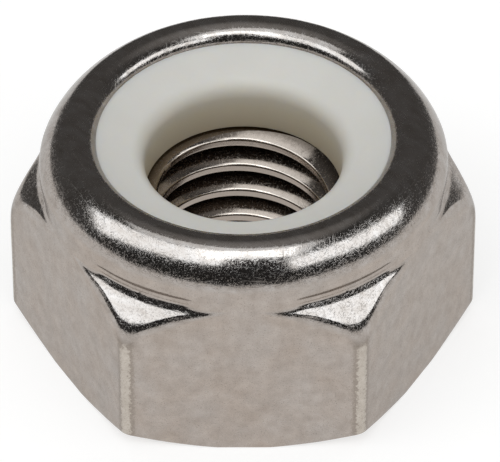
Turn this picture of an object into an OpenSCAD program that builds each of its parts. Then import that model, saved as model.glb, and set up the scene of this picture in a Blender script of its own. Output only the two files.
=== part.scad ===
// Nylon insert lock nut for a 4.83 mm bolt with 32 turns to the inch.
// A steel nut is cold formed with a thin collar, which is rolled over a nylon ring and traps it.
// Origin: the middle of the bearing face. +Z runs up the thread axis to the collar, and a flat faces -Y.

/* [Hexagon] */
// Width across the flats
across_flats = 9.525; // [8.7:0.025:11]
// Radius of the six upright corners
corner_r = 0.28; // [0.1:0.02:0.5]
// Width of the chamfer round the bearing face, at the corners
bearing_chamfer = 0.67; // [0.4:0.01:1.2]
// Angle of that chamfer, from the bearing face
bearing_angle = 30; // [20:1:38]
// Angle of the sloping shoulder, from the bearing face
shoulder_angle = 47; // [41:1:54]
// Radius that rounds the shoulder into the corners
shoulder_r = 1.15; // [0.5:0.05:1.5]

/* [Collar] */
// Height of the whole nut
nut_h = 5.7; // [4.8:0.01:7]
// Height of the collar above the shoulder
collar_h = 1.61; // [1.35:0.01:1.9]
// How far the collar's upright wall lies inside the flats
collar_inset = 0.01; // [0.01:0.01:0.3]
// Thickness of the collar round the ring
collar_wall = 0.65; // [0.4:0.01:0.76]
// Radius of the hollow between the collar and the shoulder
foot_r = 0.6; // [0.2:0.02:0.8]
// Radius where the wall starts to lean in
wall_bend_r = 0.57; // [0.3:0.03:0.84]
// Radius of the broad outer curve of the crown
crown_r = 1.81; // [1.6:0.01:1.95]
// Radius of the rolled lip
lip_r = 0.49; // [0.42:0.01:0.54]
// Lean of the wall where the broad curve starts
crown_start = 23; // [18:1:29]
// Lean of the wall where the broad curve ends and the lip starts
crown_end = 50; // [46:1:56]
// Lean of the lip where it ends against the ring
lip_end = 162; // [150:1:168]

/* [Insert] */
// Bore of the nylon ring
insert_bore_d = 4.6; // [4.3:0.01:4.7]
// Depth of the ledge that carries the ring, from the top of the nut
ledge_depth = 2.01; // [1.7:0.01:2.4]
// Slope of the ring's upper face down to its bore
dish_angle = 20; // [10:1:26]
// Radius between the upper face and the bore of the ring
insert_edge_r = 0.34; // [0.2:0.02:0.6]

/* [Thread] */
// Minor diameter, which the bore is drilled to
thread_minor_d = 4.0; // [3.9:0.02:4.16]
// Width of the countersink in the bearing face
countersink_w = 0.5; // [0.3:0.02:0.8]
// Angle between the sides of the countersink
countersink_angle = 120; // [90:5:120]
// Height and width of the small chamfer at the ledge
ledge_chamfer = 0.06; // [0.02:0.01:0.12]

/* [Hidden] */
$fn = 128;
curve_step = 6;
sides = 6;
side_angle = 360/sides;
steel_colour = [0.67, 0.63, 0.60];
nylon_colour = [0.86, 0.85, 0.82];

// Hexagon and shoulder
flat_r = across_flats/2;
corner_centre_r = (flat_r - corner_r)/cos(side_angle/2);
corner_top_r = corner_centre_r + corner_r;
bearing_r = corner_top_r - bearing_chamfer;
bearing_corner_h = bearing_chamfer*tan(bearing_angle);
collar_r = flat_r - collar_inset;
shoulder_top_h = nut_h - collar_h;
shoulder_h = shoulder_top_h - (corner_top_r - collar_r)*tan(shoulder_angle);
shoulder_c = [corner_top_r - shoulder_r, shoulder_h - shoulder_r*tan((90 - shoulder_angle)/2)];
foot_c = [collar_r + foot_r, shoulder_top_h + foot_r*tan((90 - shoulder_angle)/2)];

// Centres of the three curves of the crown, from the wall to the lip
lip_c = [
    collar_r - wall_bend_r + (wall_bend_r - crown_r)*cos(crown_start) + (crown_r - lip_r)*cos(crown_end),
    nut_h - lip_r
];
crown_c = lip_c - (crown_r - lip_r)*[cos(crown_end), sin(crown_end)];
bend_c = crown_c + (crown_r - wall_bend_r)*[cos(crown_start), sin(crown_start)];

// Nylon ring, which meets the end of the lip
insert_r = insert_bore_d/2;
seat_r = collar_r - collar_wall;
ledge_h = nut_h - ledge_depth;
lip_tip = lip_c + lip_r*[cos(lip_end), sin(lip_end)];
insert_corner_r = (seat_r - lip_tip[0])/(1 + sin(dish_angle));
insert_corner_c = lip_tip - insert_corner_r*[-sin(dish_angle), cos(dish_angle)];
insert_edge_c = [
    insert_r + insert_edge_r,
    lip_tip[1] - (lip_tip[0] - insert_r - insert_edge_r)*tan(dish_angle) - insert_edge_r/cos(dish_angle)
];

// Bore
minor_r = thread_minor_d/2;
countersink_r = minor_r + countersink_w;
countersink_h = countersink_w/tan(countersink_angle/2);

// A point on a circle about a centre
function on_arc(c, r, a) = c + r*[cos(a), sin(a)];

// Points along a curve about a centre, from angle a to angle b, no further apart than curve_step.
// A curve that carries on from another one leaves out its own first point.
function arc(c, r, a, b, first = 0) =
    let (steps = ceil(abs(b - a)/curve_step))
    [for (i = [first:steps]) on_arc(c, r, a + (b - a)*i/steps)];

// Underside of the lip, which the ring fills: from the lip's tip round to the wall of the seat
seat_curve = arc(insert_corner_c, insert_corner_r, 90 + dish_angle, 0, 1);

// Section of the nylon ring: flat below, dished above, rounded at the bore and under the lip
module insert_section() {
    polygon(concat(
        [[insert_r, ledge_h]],
        arc(insert_edge_c, insert_edge_r, 180, 90 + dish_angle),
        [lip_tip],
        seat_curve,
        [[seat_r, ledge_h]]
    ));
}

// Section of the steel, from the bearing face up the outside and down through the seat and the bore
module steel_section() {
    polygon(concat(
        [[countersink_r, 0], [bearing_r, 0], [corner_top_r, bearing_corner_h]],
        arc(shoulder_c, shoulder_r, 0, 90 - shoulder_angle),
        arc(foot_c, foot_r, 270 - shoulder_angle, 180),
        arc(bend_c, wall_bend_r, 0, crown_start),
        arc(crown_c, crown_r, crown_start, crown_end, 1),
        arc(lip_c, lip_r, crown_end, lip_end, 1),
        seat_curve,
        [[seat_r, ledge_h], [minor_r + ledge_chamfer, ledge_h]],
        [[minor_r, ledge_h - ledge_chamfer], [minor_r, countersink_h]]
    ));
}

// Hexagon with rounded corners, one flat towards -Y
module hexagon() {
    corner_turns = [0:sides - 1];
    polygon([
        for (k = corner_turns, side = [-1, 1])
            on_arc(
                corner_centre_r*[cos(k*side_angle), sin(k*side_angle)],
                corner_r,
                k*side_angle + side*side_angle/2
            )
    ]);
    for (k = corner_turns) {
        rotate(k*side_angle) translate([corner_centre_r, 0]) circle(corner_r);
    }
}

// Steel body: the turned form, cut by the six flats
module nut_body() {
    color(steel_colour)
        intersection() {
            rotate_extrude() steel_section();
            linear_extrude(nut_h) hexagon();
        }
}

// Nylon ring that grips the bolt
module nylon_insert() {
    color(nylon_colour)
        rotate_extrude() insert_section();
}

nut_body();
nylon_insert();
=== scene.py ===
import math

import bmesh
import bpy
import numpy as np
from mathutils import Matrix, Vector, noise


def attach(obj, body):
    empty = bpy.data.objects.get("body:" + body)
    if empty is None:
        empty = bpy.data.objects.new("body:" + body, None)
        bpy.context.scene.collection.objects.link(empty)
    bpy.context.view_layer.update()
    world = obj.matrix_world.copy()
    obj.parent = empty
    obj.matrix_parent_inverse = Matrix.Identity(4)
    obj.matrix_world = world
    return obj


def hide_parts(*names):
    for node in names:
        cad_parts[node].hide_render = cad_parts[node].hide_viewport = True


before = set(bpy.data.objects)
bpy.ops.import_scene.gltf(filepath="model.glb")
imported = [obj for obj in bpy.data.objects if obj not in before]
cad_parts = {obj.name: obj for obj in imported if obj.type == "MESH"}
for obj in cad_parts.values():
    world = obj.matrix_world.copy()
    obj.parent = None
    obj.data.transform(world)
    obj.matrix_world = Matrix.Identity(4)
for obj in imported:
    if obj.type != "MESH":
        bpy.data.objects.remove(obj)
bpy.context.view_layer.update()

# Sizes of the part's source. Lengths are in millimetres until a mesh is written in metres.
MM = 0.001
ACROSS_FLATS = 9.525
FLAT_R = ACROSS_FLATS / 2
CORNER_R = 0.28
BEARING_CHAMFER = 0.67
BEARING_ANGLE = math.radians(30)
SHOULDER_ANGLE = math.radians(47)
SHOULDER_R = 1.15
NUT_H = 5.7
COLLAR_H = 1.61
COLLAR_R = FLAT_R - 0.01
COLLAR_WALL = 0.65
FOOT_R = 0.6
WALL_BEND_R = 0.57
CROWN_R = 1.81
LIP_R = 0.49
CROWN_START, CROWN_END, LIP_END = (math.radians(a) for a in (23, 50, 162))
INSERT_R = 4.6 / 2
LEDGE_H = NUT_H - 2.01
DISH_ANGLE = math.radians(20)
MINOR_R = 2.0
COUNTERSINK_W = 0.5
COUNTERSINK_HALF_ANGLE = math.radians(60)
LEDGE_CHAMFER = 0.06

SIDES = 6
SIDE_ANGLE = math.radians(360 / SIDES)
CORNER_CENTRE_R = (FLAT_R - CORNER_R) / math.cos(SIDE_ANGLE / 2)
CORNER_TOP_R = CORNER_CENTRE_R + CORNER_R
BEARING_R = CORNER_TOP_R - BEARING_CHAMFER
SHOULDER_TOP_H = NUT_H - COLLAR_H
SHOULDER_H = SHOULDER_TOP_H - (CORNER_TOP_R - COLLAR_R) * math.tan(SHOULDER_ANGLE)
SHOULDER_LEAN = math.pi / 2 - SHOULDER_ANGLE
HALF_LEAN = SHOULDER_LEAN / 2
SHOULDER_C = np.array([CORNER_TOP_R - SHOULDER_R, SHOULDER_H - SHOULDER_R * math.tan(HALF_LEAN)])
FOOT_H = SHOULDER_TOP_H + FOOT_R * math.tan(HALF_LEAN)
SEAT_R = COLLAR_R - COLLAR_WALL

# What the photograph shows beyond the source, in which every corner and side is the same
HOLLOW_R = 0.28
HOLLOW_C = np.array([COLLAR_R + HOLLOW_R, SHOULDER_TOP_H + HOLLOW_R * math.tan(HALF_LEAN)])
SHOULDER_LIFT = 0.11
INSERT_EDGE_R = 0.5
INSERT_LOWER_EDGE = 0.05
GROOVES = (4.30, 4.43)
GROOVE_W, GROOVE_DEPTH = 0.065, 0.042
GROOVE_START_R, GROOVE_FADE = 4.86, 0.14
BEARING_UNEVEN = math.radians(7)
COLLAR_SHIFT = 0.012
COLLAR_LEAN = math.radians(0.6)
# Each layer of waviness: its height, the size of its bumps and its seed
WAVES = ((0.0035, 0.9, 3.1), (0.0015, 0.32, 7.7))

# Half widths over which the creases are rounded, and how far beside a crease they hold
END_ROUND = 0.001
FACE_ROUND = 0.05
BEARING_ROUND, BEARING_REACH = 0.10, 0.3
CREASE_ROUND, CREASE_REACH = 0.06, 0.4
CORNER_CREASE_ROUND = 0.29
FOOT_ROUND = 0.02
# Shares of the way over the shoulder where the crease's rounding ends and the foot's begins
CREASE_SHARE, FOOT_SHARE = 0.15, 0.45
# How far outside the flats' middle the corner's rounding begins, and over which distance it grows
CORNER_START, CORNER_FADE = 0.03, 0.26

# The thread, right hand, of 32 turns to the inch
PITCH = 0.79375
CREST_HALF = PITCH / 8
ROOT_START = PITCH * 7 / 16
THREAD_SOFT = 0.035
THREAD_SLOPE = 1 / math.tan(math.radians(30))
CREST_AT = 3.48
COUNTERSINK_SOFT, LEDGE_SOFT = 0.04, 0.03

# How finely the meshes are divided
CORNER_SPAN = math.radians(2)
FINE_COLUMNS, COARSE_COLUMNS = 7, 46
FACE_ROWS, CHAMFER_ROWS, FLAT_ROWS, SHOULDER_ROWS, WALL_ROWS = 5, 7, 24, 46, 3
SECTION_SAMPLES = 900
SHORTEST = 1e-7
BEARING_START_R = 2.75
EDGE_BREAK = 0.015
SHOULDER_STEPS, HOLLOW_STEPS = 20, 24
WALL_POINTS, WALL_STEP = 11, 0.03
BEND_STEPS, CROWN_STEPS, LIP_STEPS, SEAT_STEPS = 7, 18, 40, 8
LEDGE_STRIP = 0.5
WAVE_ROWS, TIP_FADE_ROWS = 8, 12
THREAD_COLUMNS = 240
THREAD_SAMPLES = 8
THREAD_PAST_END = 0.2
INSERT_COLUMNS = 256
INSERT_WALL_STEPS, INSERT_EDGE_STEPS, INSERT_SLOPE_STEPS = 5, 16, 8
BODY_SHARP, INSERT_SHARP = 27, 35
LEVEL = 0.99999


def unit(a):
    """The direction at angle a in the section plane, where x is the radius and y the height."""
    return np.array([math.cos(a), math.sin(a)])


# Centres of the crown's curves, from the lip back to the wall, and of the curve under the lip
LIP_C = np.array([
    COLLAR_R - WALL_BEND_R + (WALL_BEND_R - CROWN_R) * math.cos(CROWN_START) + (CROWN_R - LIP_R) * math.cos(CROWN_END),
    NUT_H - LIP_R,
])
CROWN_C = LIP_C - (CROWN_R - LIP_R) * unit(CROWN_END)
BEND_C = CROWN_C + (CROWN_R - WALL_BEND_R) * unit(CROWN_START)
LIP_TIP = LIP_C + LIP_R * unit(LIP_END)
SEAT_CURVE_R = (SEAT_R - LIP_TIP[0]) / (1 + math.sin(DISH_ANGLE))
SEAT_CURVE_C = LIP_TIP - SEAT_CURVE_R * np.array([-math.sin(DISH_ANGLE), math.cos(DISH_ANGLE)])


def arc(centre, radius, start, end, steps):
    """Points on a circle, from angle start to angle end."""
    return [centre + radius * unit(start + (end - start) * i / steps) for i in range(steps + 1)]


def smooth_step(x):
    x = min(max(x, 0.0), 1.0)
    return x * x * (3 - 2 * x)


def line_length(points):
    return np.hypot(*np.diff(np.array(points), axis=0).T).sum()


def hexagon_radius(theta):
    """Distance from the axis to the rounded hexagon, in direction theta."""
    t = abs((theta + SIDE_ANGLE / 2) % SIDE_ANGLE - SIDE_ANGLE / 2)
    corner_end = math.atan2(CORNER_R * math.sin(SIDE_ANGLE / 2),
                            CORNER_CENTRE_R + CORNER_R * math.cos(SIDE_ANGLE / 2))
    if t < corner_end:
        half_chord = CORNER_CENTRE_R * math.sin(t)
        return CORNER_CENTRE_R * math.cos(t) + math.sqrt(CORNER_R ** 2 - half_chord ** 2)
    return FLAT_R / math.cos(SIDE_ANGLE / 2 - t)


def side_columns():
    """Directions of the mesh's columns, close together at the six corners."""
    half = [CORNER_SPAN * i / FINE_COLUMNS for i in range(FINE_COLUMNS)]
    rest = SIDE_ANGLE - 2 * CORNER_SPAN
    middle = [CORNER_SPAN + rest * i / COARSE_COLUMNS for i in range(COARSE_COLUMNS + 1)]
    turn = half + middle + [SIDE_ANGLE - a for a in reversed(half[1:])]
    return [k * SIDE_ANGLE + a for k in range(SIDES) for a in turn]


def rounded(points, rounding):
    """A function of the length along a line, which gives the line's points with its corners rounded.

    Each point is a moving average. rounding lists lengths along the line, each with the average's half width there.
    """
    points = np.array(points)
    marks, widths = zip(*rounding)
    length = np.concatenate([[0], np.cumsum(np.hypot(*np.diff(points, axis=0).T))])
    total = length[-1]
    fine = np.linspace(0, total, SECTION_SAMPLES)
    xy = np.stack([np.interp(fine, length, points[:, i]) for i in (0, 1)], axis=1)
    sums = np.concatenate([np.zeros((1, 2)), np.cumsum((xy[1:] + xy[:-1]) / 2 * (fine[1] - fine[0]), axis=0)])

    def smoothed(s):
        half = np.interp(s, marks, widths)
        half = np.minimum(half, np.minimum(s, total - s) + SHORTEST)
        low, high = np.maximum(s - half, 0), np.minimum(s + half, total)
        out = np.empty((len(s), 2))
        for i in (0, 1):
            out[:, i] = (np.interp(high, fine, sums[:, i]) - np.interp(low, fine, sums[:, i])) / (high - low)
        return out

    return smoothed


def even(t):
    return t


def close_at_end(t, power=2.2):
    return 1 - (1 - t) ** power


def close_at_both(t):
    return t * t * (3 - 2 * t)


def spread(a, b, count, spacing=even):
    """count values from a to b, without b."""
    return a + (b - a) * spacing(np.arange(count) / count)


def turned_shoulder(h):
    """From radius h over the shoulder and up the hollow to the collar's wall, as in the part's source."""
    cone_start = SHOULDER_C + SHOULDER_R * unit(SHOULDER_LEAN)
    hollow = arc(HOLLOW_C, HOLLOW_R, math.pi + SHOULDER_LEAN, math.pi, HOLLOW_STEPS)
    wall = [np.array([COLLAR_R, HOLLOW_C[1] + WALL_STEP * i]) for i in range(1, WALL_POINTS + 1)]
    if h > cone_start[0]:
        lean = math.acos(min((h - SHOULDER_C[0]) / SHOULDER_R, 1.0))
        return arc(SHOULDER_C, SHOULDER_R, lean, SHOULDER_LEAN, SHOULDER_STEPS) + hollow + wall
    if h > hollow[0][0]:
        cone = np.array([h, SHOULDER_TOP_H - (h - COLLAR_R) * math.tan(SHOULDER_ANGLE)])
        return [cone] + hollow + wall
    start = math.pi + math.acos((HOLLOW_C[0] - h) / HOLLOW_R)
    return arc(HOLLOW_C, HOLLOW_R, start, math.pi, HOLLOW_STEPS) + wall


def shoulder_section(h):
    """The turned outline above the flats, formed a little high, with two fine grooves in the hollow by each corner."""
    near = smooth_step((h - GROOVE_START_R) / GROOVE_FADE)
    points = []
    for r, z in turned_shoulder(h):
        z += SHOULDER_LIFT
        cut = sum(math.exp(-((z - g) / GROOVE_W) ** 2) for g in GROOVES)
        points.append(np.array([r - GROOVE_DEPTH * near * cut, z]))
    return points


def fitted(width, length):
    """A rounding width, smaller where the face beside it is short."""
    return width * length / (length + width)


def side_section(theta):
    """The section from the bearing face to the foot of the collar, in one direction."""
    h = hexagon_radius(theta)
    upper = shoulder_section(h)
    bearing_r = min(BEARING_R, h - EDGE_BREAK)
    lean = BEARING_ANGLE - BEARING_UNEVEN * math.cos(theta) ** 4
    chamfer_h = EDGE_BREAK + max(h - EDGE_BREAK - bearing_r, 0) * math.tan(lean)
    chamfer = math.hypot(h - bearing_r, chamfer_h)
    wall_top = np.array([COLLAR_R, BEND_C[1]])
    lower = [np.array([BEARING_START_R, 0]), np.array([bearing_r, 0]), np.array([h, chamfer_h])]

    # Lengths along the section at the ends of the face, the chamfer, the flat, the shoulder and the wall
    face_end = bearing_r - BEARING_START_R
    chamfer_end = face_end + chamfer
    flat_end = chamfer_end + upper[0][1] - chamfer_h
    shoulder_end = flat_end + line_length(upper)
    wall_end = shoulder_end + wall_top[1] - upper[-1][1]
    over_shoulder = shoulder_end - flat_end

    near_corner = smooth_step((h - FLAT_R - CORNER_START) / CORNER_FADE)
    crease = CREASE_ROUND + (CORNER_CREASE_ROUND - CREASE_ROUND) * near_corner
    bearing_edge = fitted(BEARING_ROUND, chamfer)
    curve = rounded(lower + upper + [wall_top], [
        (0, END_ROUND),
        (face_end, fitted(FACE_ROUND, chamfer)),
        (chamfer_end, bearing_edge),
        (chamfer_end + BEARING_REACH, bearing_edge),
        (flat_end - CREASE_REACH, crease),
        (flat_end, crease),
        (flat_end + CREASE_SHARE * over_shoulder, crease),
        (flat_end + FOOT_SHARE * over_shoulder, FOOT_ROUND),
        (shoulder_end, FOOT_ROUND),
        (wall_end, END_ROUND),
    ])
    return curve(np.concatenate([
        spread(0, face_end, FACE_ROWS, close_at_end),
        spread(face_end, chamfer_end, CHAMFER_ROWS),
        spread(chamfer_end, flat_end, FLAT_ROWS, close_at_both),
        spread(flat_end, shoulder_end, SHOULDER_ROWS),
        spread(shoulder_end, wall_end, WALL_ROWS),
    ]))


def seat_curve():
    """Under the lip, from its tip round to the seat's wall. The steel and the ring meet there."""
    return arc(SEAT_CURVE_C, SEAT_CURVE_R, math.pi / 2 + DISH_ANGLE, 0, SEAT_STEPS)[1:]


def crown_section():
    """The section from the collar's wall over the crown and the lip, round the seat and in along the ledge."""
    points = arc(BEND_C, WALL_BEND_R, 0, CROWN_START, BEND_STEPS)
    points += arc(CROWN_C, CROWN_R, CROWN_START, CROWN_END, CROWN_STEPS)[1:]
    points += arc(LIP_C, LIP_R, CROWN_END, LIP_END, LIP_STEPS)[1:]
    points += seat_curve()
    points += [np.array([SEAT_R, LEDGE_H]), np.array([SEAT_R - LEDGE_STRIP, LEDGE_H])]
    return np.array(points)


def collar_place(x, y, z):
    """The rolled collar sits a little off the thread axis, towards +X, and leans. Both grow up the shoulder."""
    grown = smooth_step((z - SHOULDER_H) / (FOOT_H - SHOULDER_H))
    return x + COLLAR_SHIFT * grown, y, z + COLLAR_LEAN * grown * x


def ring_place(x, y, z):
    """The ring follows the collar. Its underside stays on the level ledge."""
    raised = smooth_step((z - LEDGE_H) / (LIP_TIP[1] - LEDGE_H))
    return x + COLLAR_SHIFT, y, z + COLLAR_LEAN * raised * x


def waviness(p, size, seed):
    """A smooth random height from -1 to 1, with bumps about size millimetres apart."""
    return noise.noise(Vector(p) / size + Vector((seed, 2 * seed, -seed)))


def make_wavy(column, theta, tip):
    """Moves a column's points a few micrometres in or out, and less towards the bearing face and the lip's tip."""
    for i in range(FACE_ROWS + 1, tip):
        r, z = column[i]
        p = (r * math.cos(theta), r * math.sin(theta), z)
        fade = 1.0 if i < tip - TIP_FADE_ROWS else (tip - i) / TIP_FADE_ROWS
        lift = sum(height * waviness(p, size, seed) for height, size, seed in WAVES)
        lift *= fade * smooth_step((i - FACE_ROWS) / WAVE_ROWS)
        along = column[i + 1] - column[i - 1]
        length = np.hypot(*along)
        if length > 1e-9:
            column[i] += np.array([along[1], -along[0]]) / length * lift


def outer_grid():
    """Columns of points (x, y, z) round the outside, from the bearing face to the ledge."""
    crown = crown_section()
    grid = []
    for theta in side_columns():
        column = np.concatenate([side_section(theta), crown])
        tip = len(column) - len(crown) + BEND_STEPS + CROWN_STEPS + LIP_STEPS
        make_wavy(column, theta, tip)
        c, s = math.cos(theta), math.sin(theta)
        outside = [collar_place(r * c, r * s, z) for r, z in column[:tip]]
        grid.append(outside + [ring_place(r * c, r * s, z) for r, z in column[tip:]])
    return grid


def thread_rows():
    """Heights of one pitch's rows from a crest's middle, close together at the edges of crest and root."""
    half = [
        0.0,
        CREST_HALF / 2,
        CREST_HALF - THREAD_SOFT,
        CREST_HALF - THREAD_SOFT / 2,
        CREST_HALF,
        CREST_HALF + THREAD_SOFT / 2,
        CREST_HALF + THREAD_SOFT,
        CREST_HALF + (ROOT_START - CREST_HALF) / 2,
        ROOT_START - THREAD_SOFT,
        ROOT_START,
        PITCH / 2,
    ]
    return half + [PITCH - a for a in reversed(half[1:-1])] + [PITCH - CREST_HALF / 4]


def sharp_thread_radius(u):
    """Radius of the thread with sharp edges, at height u from a crest's middle."""
    u = abs((u + PITCH / 2) % PITCH - PITCH / 2)
    return MINOR_R + min(max(u - CREST_HALF, 0), ROOT_START - CREST_HALF) * THREAD_SLOPE


def thread_radius(u):
    """Radius of the thread with rounded edges, the average of the sharp one nearby."""
    shares = [2 * (i + 0.5) / THREAD_SAMPLES - 1 for i in range(THREAD_SAMPLES)]
    return sum(sharp_thread_radius(u + THREAD_SOFT * share) for share in shares) / THREAD_SAMPLES


def soft_max(a, b, k):
    """The larger of a and b, blended where they are within k of each other."""
    h = min(max(0.5 + 0.5 * (a - b) / k, 0), 1)
    return b + (a - b) * h + k * h * (1 - h)


def bore_radius(z, u):
    """Radius of the bore at height z: the thread, the countersink or the ledge's chamfer, whichever is wider."""
    countersink = MINOR_R + COUNTERSINK_W - z * math.tan(COUNTERSINK_HALF_ANGLE)
    ledge = MINOR_R + LEDGE_CHAMFER - (LEDGE_H - z)
    return soft_max(soft_max(thread_radius(u), countersink, COUNTERSINK_SOFT), ledge, LEDGE_SOFT)


def add_thread(bm):
    """The tapped bore, on a grid that follows the helix, cut off at the bearing face and at the ledge."""
    rows = thread_rows()
    turns_down = math.ceil((CREST_AT - PITCH / 4) / PITCH) + 2
    levels = [(k, u) for k in range(-turns_down, 2) for u in rows]
    columns = []
    for j in range(THREAD_COLUMNS):
        theta = 2 * math.pi * j / THREAD_COLUMNS
        column = []
        for k, u in levels:
            z = CREST_AT + k * PITCH + u + PITCH * (theta - math.pi / 2) / (2 * math.pi)
            r = bore_radius(min(max(z, -THREAD_PAST_END), LEDGE_H + THREAD_PAST_END), u)
            column.append(bm.verts.new((r * math.cos(theta), r * math.sin(theta), z)))
        columns.append(column)
    # The last column joins the first one a whole turn further up
    columns.append(columns[0][len(rows):])
    for a, b in zip(columns[:-1], columns[1:]):
        for i in range(min(len(a), len(b)) - 1):
            bm.faces.new((a[i + 1], b[i + 1], b[i], a[i]))
    for height, normal in ((0.0, (0, 0, -1)), (LEDGE_H, (0, 0, 1))):
        bmesh.ops.bisect_plane(bm, geom=bm.verts[:] + bm.edges[:] + bm.faces[:], dist=1e-7,
                               plane_co=(0, 0, height), plane_no=normal, clear_outer=True)


def boundary_at(bm, height):
    """The open edges at one height."""
    return [e for e in bm.edges if e.is_boundary and all(abs(v.co.z - height) < 1e-4 for v in e.verts)]


def add_strip(bm, a, b):
    """Faces between two columns of vertices."""
    for i in range(len(a) - 1):
        bm.faces.new((a[i], b[i], b[i + 1], a[i + 1]))


def place_object(name, data):
    obj = bpy.data.objects.new(name, data)
    bpy.context.scene.collection.objects.link(obj)
    return obj


def place_bmesh(name, bm):
    """Writes a bmesh to a new object and frees it."""
    mesh = bpy.data.meshes.new(name)
    bm.to_mesh(mesh)
    bm.free()
    return place_object(name, mesh)


def finish_mesh(bm, name, sharp_angle):
    """Writes a bmesh in millimetres as a mesh object in metres. Level faces are shaded flat, all others smooth."""
    bmesh.ops.remove_doubles(bm, verts=bm.verts[:], dist=1e-6)
    bmesh.ops.recalc_face_normals(bm, faces=bm.faces[:])
    for f in bm.faces:
        f.smooth = abs(f.normal.z) < LEVEL
    for v in bm.verts:
        v.co *= MM
    obj = place_bmesh(name, bm)
    obj.data.set_sharp_from_angle(angle=math.radians(sharp_angle))
    return obj


def make_body():
    bm = bmesh.new()
    add_thread(bm)
    columns = [[bm.verts.new(p) for p in column] for column in outer_grid()]
    for a, b in zip(columns, columns[1:] + columns[:1]):
        add_strip(bm, a, b)
    for height in (0.0, LEDGE_H):
        bmesh.ops.triangle_fill(bm, edges=boundary_at(bm, height), use_beauty=True)
    return finish_mesh(bm, "steel_body", BODY_SHARP)


def insert_points():
    """Section of the nylon ring, from the bore's lower edge round to the seat and back along the ledge."""
    edge_c = np.array([
        INSERT_R + INSERT_EDGE_R,
        LIP_TIP[1] - (LIP_TIP[0] - INSERT_R - INSERT_EDGE_R) * math.tan(DISH_ANGLE)
        - INSERT_EDGE_R / math.cos(DISH_ANGLE),
    ])
    wall = edge_c[1] - LEDGE_H - INSERT_LOWER_EDGE
    wall_heights = [LEDGE_H + INSERT_LOWER_EDGE + wall * i / INSERT_WALL_STEPS for i in range(INSERT_WALL_STEPS)]
    points = [np.array([INSERT_R + INSERT_LOWER_EDGE, LEDGE_H])]
    points += [np.array([INSERT_R, z]) for z in wall_heights]
    points += arc(edge_c, INSERT_EDGE_R, math.pi, math.pi / 2 + DISH_ANGLE, INSERT_EDGE_STEPS)
    start, slope = points[-1], LIP_TIP - points[-1]
    points += [start + slope * i / INSERT_SLOPE_STEPS for i in range(1, INSERT_SLOPE_STEPS + 1)]
    return points + seat_curve() + [np.array([SEAT_R, LEDGE_H])]


def make_insert():
    bm = bmesh.new()
    section = insert_points()
    columns = []
    for j in range(INSERT_COLUMNS):
        t = 2 * math.pi * j / INSERT_COLUMNS
        columns.append([bm.verts.new(ring_place(r * math.cos(t), r * math.sin(t), z)) for r, z in section])
    for a, b in zip(columns, columns[1:] + columns[:1]):
        add_strip(bm, a + a[:1], b + b[:1])
    return finish_mesh(bm, "nylon_ring", INSERT_SHARP)


class Graph:
    """A node tree, with a short call for each kind of node that is used here."""

    def __init__(self, tree):
        self.nodes, self.links = tree.nodes, tree.links
        self.nodes.clear()

    def feed(self, socket, value):
        """Links an output to a socket, or gives the socket a value of its own."""
        if isinstance(value, bpy.types.NodeSocket):
            self.links.new(value, socket)
        elif socket.type == "RGBA":
            socket.default_value = (*value, 1)
        else:
            socket.default_value = value

    def add(self, kind, inputs=None, **settings):
        node = self.nodes.new(kind)
        for key, value in settings.items():
            setattr(node, key, value)
        for name, value in (inputs or {}).items():
            self.feed(node.inputs[name], value)
        return node

    def coords(self):
        return self.add("ShaderNodeTexCoord").outputs["Object"]

    def split(self, vector):
        """The outputs X, Y and Z of a vector."""
        return self.add("ShaderNodeSeparateXYZ", {0: vector}).outputs

    def calc(self, operation, *values):
        return self.add("ShaderNodeMath", dict(enumerate(values)), operation=operation).outputs[0]

    def remap(self, value, low, high, to_low=0, to_high=1):
        inputs = {"Value": value, "From Min": low, "From Max": high, "To Min": to_low, "To Max": to_high}
        return self.add("ShaderNodeMapRange", inputs, clamp=True).outputs["Result"]

    def noise_texture(self, vector, scale, detail, roughness=0.5, distortion=0.0):
        inputs = {"Vector": vector, "Scale": scale, "Detail": detail, "Roughness": roughness, "Distortion": distortion}
        return self.add("ShaderNodeTexNoise", inputs).outputs["Fac"]

    def turned(self, vector, angles, stretch):
        """Coordinates turned in space, and stretched along the new x axis by the number stretch."""
        turn = self.add("ShaderNodeMapping", {"Vector": vector, "Rotation": [math.radians(a) for a in angles]},
                        vector_type="POINT")
        squeeze = self.add("ShaderNodeMapping", {"Vector": turn.outputs["Vector"], "Scale": (1 / stretch, 1, 1)},
                           vector_type="POINT")
        return squeeze.outputs["Vector"]

    def ramp(self, value, stops):
        """Colours along a value. Each stop is a position and a colour."""
        node = self.add("ShaderNodeValToRGB", {"Fac": value})
        elements = node.color_ramp.elements
        while len(elements) < len(stops):
            elements.new(0.5)
        for element, (position, colour) in zip(elements, stops):
            element.position = position
            element.color = (*colour, 1)
        return node.outputs["Color"]

    def mix(self, factor, a, b, blend="MIX"):
        """The colour a where factor is 0 and b, blended onto a, where it is 1."""
        node = self.add("ShaderNodeMix", {"Factor": factor}, data_type="RGBA", blend_type=blend)
        for name, colour in (("A", a), ("B", b)):
            self.feed(next(s for s in node.inputs if s.name == name and s.type == "RGBA"), colour)
        return next(s for s in node.outputs if s.type == "RGBA")

    def multiply(self, a, b):
        """The product of two colours."""
        return self.mix(1.0, a, b, "MULTIPLY")

    def bump(self, height, strength, distance):
        inputs = {"Height": height, "Strength": strength, "Distance": distance}
        return self.add("ShaderNodeBump", inputs).outputs["Normal"]

    def emission(self, strength):
        return self.add("ShaderNodeEmission", {"Color": (1, 1, 1), "Strength": strength}).outputs[0]

    def seen_directly(self):
        """1 for camera, glossy and transmission rays, else 0."""
        path = self.add("ShaderNodeLightPath").outputs
        either = self.calc("MAXIMUM", path["Is Camera Ray"], path["Is Glossy Ray"])
        return self.calc("MAXIMUM", either, path["Is Transmission Ray"])

    def surface(self, shader, kind="ShaderNodeOutputMaterial"):
        self.add(kind, {"Surface": shader})


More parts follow.
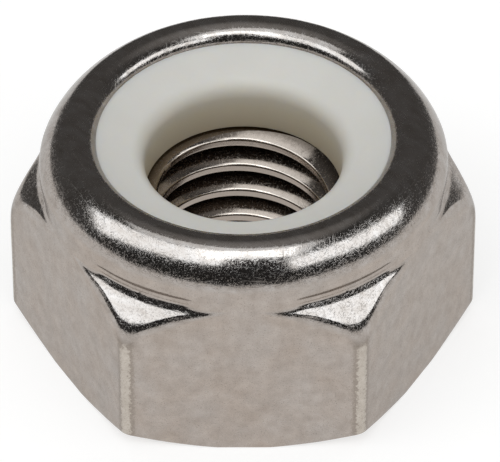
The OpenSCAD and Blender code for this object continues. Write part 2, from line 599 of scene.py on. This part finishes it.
def new_material(name):
    material = bpy.data.materials.new(name)
    material.use_nodes = True
    return material, Graph(material.node_tree)


# Steel: where each kind of surface begins and ends. Upright faces are satin, raised ones polished.
POLISH_LOW, POLISH_HIGH = 0.16, 0.34
BORE_IN, BORE_OUT = 2.60 * MM, 2.70 * MM
BORE_LOW, BORE_LOW_FULL = 0.24 * MM, 0.34 * MM
BORE_HIGH_FULL, BORE_HIGH = (LEDGE_H + 0.01) * MM, (LEDGE_H + 0.03) * MM
# Radii over which the thread's colour goes from its own tone at the crests to painted shade towards the roots
ROOT_SHADE_IN, ROOT_SHADE_OUT = 2.0 * MM, 2.45 * MM
FRINGE_IN, FRINGE_OUT = 5.366 * MM, 5.404 * MM
BAND_IN, BAND_OUT = 5.418 * MM, 5.440 * MM
BAND_FUZZ = 0.15 * MM
# Heights and radii of the painted shade below the facets' creases, by the corners
CREASE_SHADE_LOW, CREASE_SHADE_HIGH = 3.08 * MM, 3.46 * MM
CREASE_SHADE_IN, CREASE_SHADE_OUT = 5.30 * MM, 5.42 * MM

SATIN = ((0.3, (0.400, 0.347, 0.306)), (0.7, (0.414, 0.376, 0.347)))
PATCHES = ((0.3, (0.88, 0.865, 0.85)), (0.7, (1.10, 1.10, 1.10)))
DOTS = ((0.26, (0.62, 0.60, 0.58)), (0.40, (1.0, 1.0, 1.0)), (0.62, (1.0, 1.0, 1.0)), (0.74, (1.13, 1.12, 1.11)))
POLISHED = ((0.30, (0.300, 0.262, 0.232)), (0.50, (0.385, 0.347, 0.318)), (0.70, (0.455, 0.422, 0.398)))
# The thread's own warm tone at the crests, then painted shade that darkens it towards the roots and on the ledge
THREAD_TONE_AND_ROOT_SHADE = ((0.0, (0.46, 0.40, 0.35)), (0.22, (0.40, 0.34, 0.29)), (0.55, (0.17, 0.14, 0.115)),
          (1.0, (0.07, 0.055, 0.042)))
WORN_CORNER = (0.50, 0.455, 0.405)
BESIDE_CORNER = (0.31, 0.268, 0.232)
# Painted shade below the facets' creases
UNDER_CREASE_SHADE = (0.20, 0.172, 0.148)

# Each noise texture: its scale, detail and roughness. The hairs' scale is below, and they have a distortion too.
CLOUD_NOISE = (1100, 3, 0.55)
PATCH_NOISE = (3200, 4, 0.65)
SPECK_NOISE = (30000, 2, 0.6)
SMEAR_NOISE = (3600, 5, 0.72)
GRAIN_NOISE = (17000, 3, 0.65)
FUZZ_NOISE = (12000, 4, 0.75)
HAIR_NOISE = (1, 0.5, 0.4)
SMEAR_TURN, SMEAR_STRETCH = (0, 0, 35), 2.2

HAIR_TURNS = ((0, 0, 0), (0, 0, 62), (0, 0, 121), (0, 55, 20), (0, 118, 75), (35, 90, 160))
HAIR_SCALE, HAIR_SCALE_STEP, HAIR_STRETCH = 19000, 0.13, 13.0
HAIR_LOW, HAIR_HIGH = 0.62, 0.72
HAIR_ROUGHNESS = (0.05, 0.17)
HAIR_HEIGHT = (0.4, 1.0)
GRAIN_LOW, GRAIN_HIGH, GRAIN_HEIGHT = 0.3, 0.7, 0.9
SATIN_ROUGHNESS = (0.16, 0.26)
POLISHED_ROUGHNESS = (0.08, 0.14)
STEEL_BUMP = (0.5, 0.0011 * MM)
STEEL_EDGE_TINT = (0.78, 0.78, 0.78)


def hair_lines(g, coords):
    """Fine short scratches in several directions: 1 on a scratch, 0 between them."""
    lines = []
    for i, angles in enumerate(HAIR_TURNS):
        vector = g.turned(coords, angles, HAIR_STRETCH)
        value = g.noise_texture(vector, HAIR_SCALE * (1 + HAIR_SCALE_STEP * i), *HAIR_NOISE)
        lines.append(g.remap(value, HAIR_LOW, HAIR_HIGH))
    total = lines[0]
    for line in lines[1:]:
        total = g.calc("MAXIMUM", total, line)
    return total


def rough_radius(g, coords, place):
    """Distance from the thread axis, made a little uneven so that the borders that follow it aren't clean."""
    squares = [g.calc("MULTIPLY", place[k], place[k]) for k in ("X", "Y")]
    fuzz = g.calc("SUBTRACT", g.noise_texture(coords, *FUZZ_NOISE), 0.5)
    return g.calc("ADD", g.calc("SQRT", g.calc("ADD", *squares)), g.calc("MULTIPLY", fuzz, BAND_FUZZ))


def bore_mask(g, radius, height):
    """1 on the thread, 0 elsewhere."""
    inside = g.calc("MULTIPLY", g.remap(radius, BORE_OUT, BORE_IN), g.remap(height, BORE_HIGH, BORE_HIGH_FULL))
    return g.calc("MULTIPLY", inside, g.remap(height, BORE_LOW, BORE_LOW_FULL))


def steel_colour(g, coords, radius, height, polished, bore):
    """Satin flats, dark beside the worn corners, painted shade below the facets' creases, a smeared crown and a thread
    with painted shade towards its roots.
    """
    cloud = g.noise_texture(coords, *CLOUD_NOISE)
    patch = g.noise_texture(coords, *PATCH_NOISE)
    speck = g.noise_texture(coords, *SPECK_NOISE)
    smear = g.noise_texture(g.turned(coords, SMEAR_TURN, SMEAR_STRETCH), *SMEAR_NOISE)
    light, dots = g.ramp(patch, PATCHES), g.ramp(speck, DOTS)
    satin = g.multiply(g.multiply(g.ramp(cloud, SATIN), light), dots)
    worn = g.multiply(g.multiply(dots, light), WORN_CORNER)
    beside = g.mix(g.remap(radius, FRINGE_IN, FRINGE_OUT), satin, g.multiply(dots, BESIDE_CORNER))
    upright = g.mix(g.remap(radius, BAND_IN, BAND_OUT), beside, worn)
    # Painted shade below the facets' creases, by the corners
    crease_shade_mask = g.calc("MULTIPLY", g.remap(height, CREASE_SHADE_LOW, CREASE_SHADE_HIGH), g.remap(radius, CREASE_SHADE_IN, CREASE_SHADE_OUT))
    upright = g.mix(crease_shade_mask, upright, g.multiply(dots, UNDER_CREASE_SHADE))
    colour = g.mix(polished, upright, g.ramp(smear, POLISHED))
    # Painted shade: the thread and the ledge beside it darken towards the roots
    return g.mix(bore, colour, g.ramp(g.remap(radius, ROOT_SHADE_IN, ROOT_SHADE_OUT), THREAD_TONE_AND_ROOT_SHADE))


def steel_material():
    """Stainless steel: satin flats with fine mottling, lighter worn corners and a polished, hair-scratched crown."""
    material, g = new_material("stainless_steel")
    coords = g.coords()
    place = g.split(coords)
    radius = rough_radius(g, coords, place)
    facing = g.split(g.add("ShaderNodeNewGeometry").outputs["Normal"])
    polished = g.remap(facing["Z"], POLISH_LOW, POLISH_HIGH)
    bore = bore_mask(g, radius, place["Z"])
    grain = g.noise_texture(coords, *GRAIN_NOISE)
    hair = hair_lines(g, coords)

    satin_grain = g.remap(grain, GRAIN_LOW, GRAIN_HIGH, *SATIN_ROUGHNESS)
    crown_grain = g.remap(grain, GRAIN_LOW, GRAIN_HIGH, *POLISHED_ROUGHNESS)
    rough_satin = g.calc("MULTIPLY", satin_grain, g.calc("SUBTRACT", 1.0, polished))
    rough_crown = g.calc("MULTIPLY", crown_grain, polished)
    rough_hair = g.calc("MULTIPLY", hair, g.remap(polished, 0, 1, *HAIR_ROUGHNESS))
    hair_height = g.calc("MULTIPLY", hair, g.remap(polished, 0, 1, *HAIR_HEIGHT))
    height = g.calc("ADD", g.calc("MULTIPLY", grain, GRAIN_HEIGHT), hair_height)
    height = g.calc("MULTIPLY", height, g.calc("SUBTRACT", 1.0, bore))
    shader = g.add("ShaderNodeBsdfPrincipled", {
        "Base Color": steel_colour(g, coords, radius, place["Z"], polished, bore),
        "Metallic": 1.0,
        "Specular Tint": STEEL_EDGE_TINT,
        "Roughness": g.calc("ADD", g.calc("ADD", rough_satin, rough_crown), rough_hair),
        "Normal": g.bump(height, *STEEL_BUMP),
    })
    g.surface(shader.outputs["BSDF"])
    return material


NYLON = ((0.3, (0.690, 0.650, 0.589)), (0.7, (0.715, 0.675, 0.614)))
# Painted shade: the ring's colour is multiplied darker and yellower deep in the bore, between the two heights below
NYLON_BORE_SHADE = ((0.0, (0.66, 0.57, 0.44)), (0.45, (0.84, 0.77, 0.63)), (1.0, (1.0, 1.0, 1.0)))
BORE_SHADE_DEEP, BORE_SHADE_SHALLOW = (LEDGE_H + 0.05) * MM, (LEDGE_H + 1.35) * MM
NYLON_CLOUD_NOISE = (700, 3, 0.5)
NYLON_FINE_NOISE = (12000, 3, 0.6)
NYLON_ROUGHNESS = (0.42, 0.56)
NYLON_IOR = 1.53
NYLON_SUBSURFACE, NYLON_LIGHT_REACH, NYLON_REACH_BY_COLOUR = 0.45, 0.5 * MM, (1.0, 0.8, 0.5)
NYLON_BUMP = (0.15, 0.01 * MM)


def nylon_material():
    """Natural nylon, which lets some light in, with painted shade that makes it darker and yellower deep in the bore.
    """
    material, g = new_material("natural_nylon")
    coords = g.coords()
    cloud = g.noise_texture(coords, *NYLON_CLOUD_NOISE)
    fine = g.noise_texture(coords, *NYLON_FINE_NOISE)
    # Painted shade, darker and yellower deep in the bore
    bore_shade = g.ramp(g.remap(g.split(coords)["Z"], BORE_SHADE_DEEP, BORE_SHADE_SHALLOW), NYLON_BORE_SHADE)
    shader = g.add("ShaderNodeBsdfPrincipled", {
        "Base Color": g.multiply(g.ramp(cloud, NYLON), bore_shade),
        "Roughness": g.remap(fine, GRAIN_LOW, GRAIN_HIGH, *NYLON_ROUGHNESS),
        "IOR": NYLON_IOR,
        "Subsurface Weight": NYLON_SUBSURFACE,
        "Subsurface Scale": NYLON_LIGHT_REACH,
        "Subsurface Radius": NYLON_REACH_BY_COLOUR,
        "Normal": g.bump(fine, *NYLON_BUMP),
    })
    g.surface(shader.outputs["BSDF"])
    return material


# Studio, in metres
FLOOR_SIZE = 3.0
FLOOR_COLOUR = (0.43, 0.41, 0.39)
FLOOR_GLOW = 0.665
SHELL_R = 2.0
SHELL_COLUMNS, SHELL_ROWS = 72, 16
SHELL_LOW_BACK, SHELL_RISE, SHELL_TOP = 0.5, 8.5, 89.5
SHELL_SIDE, SHELL_SIDE_FADE = 100, 75
SHELL_GLOW_FRONT, SHELL_GLOW_BACK, SHELL_GLOW_TOP = 0.030, 0.11, 0.28
CARD_EDGE_Y = 0.023
CARD_HALF_W = 1.6
CARD_STEPS = 32
CARD_LOW, CARD_HIGH, CARD_SLOPE = 0.0001, 0.006, 0.02
LAMP_R = 1.0
LAMP_COLOUR = (0.94, 1.0, 1.05)
WORLD_LIGHT, WORLD_SEEN = 0.6, 1.0


def direction(azimuth, elevation):
    """Unit vector. Azimuth 0 is the camera's side, -Y, and 90 is +X."""
    a, e = math.radians(azimuth), math.radians(elevation)
    return Vector((math.sin(a) * math.cos(e), -math.cos(a) * math.cos(e), math.sin(e)))


def make_floor():
    """A white floor that takes the object's shadow. Its glow shows to camera, glossy and transmission rays only."""
    mesh = bpy.data.meshes.new("floor")
    s = FLOOR_SIZE
    mesh.from_pydata([(-s, -s, 0), (s, -s, 0), (s, s, 0), (-s, s, 0)], [], [(0, 1, 2, 3)])
    floor = place_object("floor", mesh)
    material, g = new_material("white_floor")
    diffuse = g.add("ShaderNodeBsdfDiffuse", {"Color": FLOOR_COLOUR})
    glow = g.emission(g.calc("MULTIPLY", g.seen_directly(), FLOOR_GLOW))
    g.surface(g.add("ShaderNodeAddShader", {0: diffuse.outputs[0], 1: glow}).outputs[0])
    mesh.materials.append(material)


def make_shell():
    """The dark studio round the nut, above the edge of the white sweep. The camera doesn't see it."""
    bm = bmesh.new()
    columns = []
    for j in range(SHELL_COLUMNS):
        azimuth = 360 * j / SHELL_COLUMNS
        from_front = abs((azimuth + 180) % 360 - 180)
        low = SHELL_LOW_BACK + SHELL_RISE * smooth_step((SHELL_SIDE - from_front) / SHELL_SIDE_FADE)
        levels = [low + (SHELL_TOP - low) * i / SHELL_ROWS for i in range(SHELL_ROWS + 1)]
        columns.append([bm.verts.new(direction(azimuth, level) * SHELL_R) for level in levels])
    for a, b in zip(columns, columns[1:] + columns[:1]):
        add_strip(bm, a, b)
    bm.faces.new([column[-1] for column in reversed(columns)])
    shell = place_bmesh("dark_studio", bm)
    material, g = new_material("dark_studio")
    place = g.split(g.coords())
    across = g.remap(place["Y"], -0.5 * SHELL_R, 0.5 * SHELL_R, SHELL_GLOW_FRONT, SHELL_GLOW_BACK)
    overhead = g.remap(place["Z"], 0.8 * SHELL_R, SHELL_R, 0.0, SHELL_GLOW_TOP)
    g.surface(g.emission(g.calc("ADD", across, overhead)))
    shell.data.materials.append(material)
    shell.visible_camera = False


def make_card_edge():
    """The dark behind the far edge of the white card. Only reflections show it."""
    bm = bmesh.new()
    columns = []
    for i in range(CARD_STEPS + 1):
        t = 2 * i / CARD_STEPS - 1
        x = CARD_HALF_W * t * abs(t)
        columns.append([bm.verts.new((x, CARD_EDGE_Y, z)) for z in (CARD_LOW, CARD_HIGH + CARD_SLOPE * abs(x))])
    for a, b in zip(columns[:-1], columns[1:]):
        add_strip(bm, a, b)
    edge = place_bmesh("card_edge", bm)
    material, g = new_material("card_edge")
    g.surface(g.emission(SHELL_GLOW_BACK))
    edge.data.materials.append(material)
    edge.visible_camera = False
    edge.visible_shadow = False
    edge.visible_diffuse = False


def softbox(name, azimuth, elevation, wide, high, radiance, roll=0.0):
    """A soft lamp that faces the nut. wide and high are the angles that it covers, in degrees."""
    data = bpy.data.lights.new(name, "AREA")
    data.shape = "RECTANGLE"
    data.size = 2 * LAMP_R * math.tan(math.radians(wide / 2))
    data.size_y = 2 * LAMP_R * math.tan(math.radians(high / 2))
    data.energy = radiance * math.pi * data.size * data.size_y
    data.color = LAMP_COLOUR
    lamp = place_object(name, data)
    away = direction(azimuth, elevation)
    turn = away.to_track_quat("Z", "Y").to_matrix().to_4x4()
    lamp.matrix_world = Matrix.Translation(away * LAMP_R) @ turn @ Matrix.Rotation(math.radians(roll), 4, "Z")
    lamp.visible_camera = False
    return lamp


def make_lamps():
    softbox("softbox_left", -59, 40, 68, 20, 2.3, roll=26)
    softbox("softbox_right", 62, 30, 64, 16, 2.4, roll=-18)
    softbox("softbox_front", 2, 57, 40, 16, 2.5)
    softbox("softbox_top", -18, 70, 74, 24, 1.15, roll=-6)
    fill = softbox("softbox_fill", 180, 60, 80, 50, 0.7)
    fill.visible_glossy = False


def make_world():
    world = bpy.data.worlds.new("studio")
    bpy.context.scene.world = world
    world.use_nodes = True
    g = Graph(world.node_tree)
    strength = g.remap(g.seen_directly(), 0, 1, WORLD_LIGHT, WORLD_SEEN)
    background = g.add("ShaderNodeBackground", {"Color": (1, 1, 1), "Strength": strength})
    g.surface(background.outputs[0], "ShaderNodeOutputWorld")


# Camera. Lengths from CAMERA_FLATS on are in widths across the flats.
IMAGE_W = 500
FOCAL_PX = 5684.0
SENSOR_MM = 36.0
CAMERA_AZIMUTH, CAMERA_ELEVATION, CAMERA_ROLL = -0.14, 41.9, -0.02
CAMERA_FLATS = 14.0
AIM_H, AIM_RIGHT, AIM_UP = 0.3, 0.0171, -0.0298


def make_camera():
    """The camera of the photograph, far off with a long lens."""
    flats = ACROSS_FLATS * MM
    back = direction(CAMERA_AZIMUTH, CAMERA_ELEVATION)
    a = math.radians(CAMERA_AZIMUTH)
    right = Vector((math.cos(a), math.sin(a), 0))
    up = back.cross(right)
    target = (Vector((0, 0, AIM_H)) + AIM_RIGHT * right + AIM_UP * up) * flats
    data = bpy.data.cameras.new("camera")
    data.sensor_fit = "HORIZONTAL"
    data.sensor_width = SENSOR_MM
    data.lens = FOCAL_PX / IMAGE_W * SENSOR_MM
    data.clip_start, data.clip_end = 0.005, 20
    camera = place_object("camera", data)
    turn = Matrix((right, up, back)).transposed().to_4x4() @ Matrix.Rotation(math.radians(CAMERA_ROLL), 4, "Z")
    camera.matrix_world = Matrix.Translation(target + back * CAMERA_FLATS * flats) @ turn
    bpy.context.scene.camera = camera


def main():
    body = make_body()
    body.data.materials.append(steel_material())
    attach(body, "root")
    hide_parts("nut_body")
    ring = make_insert()
    ring.data.materials.append(nylon_material())
    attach(ring, "root")
    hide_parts("nylon_insert")
    make_floor()
    make_shell()
    make_card_edge()
    make_lamps()
    make_world()
    make_camera()
    bpy.context.scene.view_settings.view_transform = "Standard"


main()
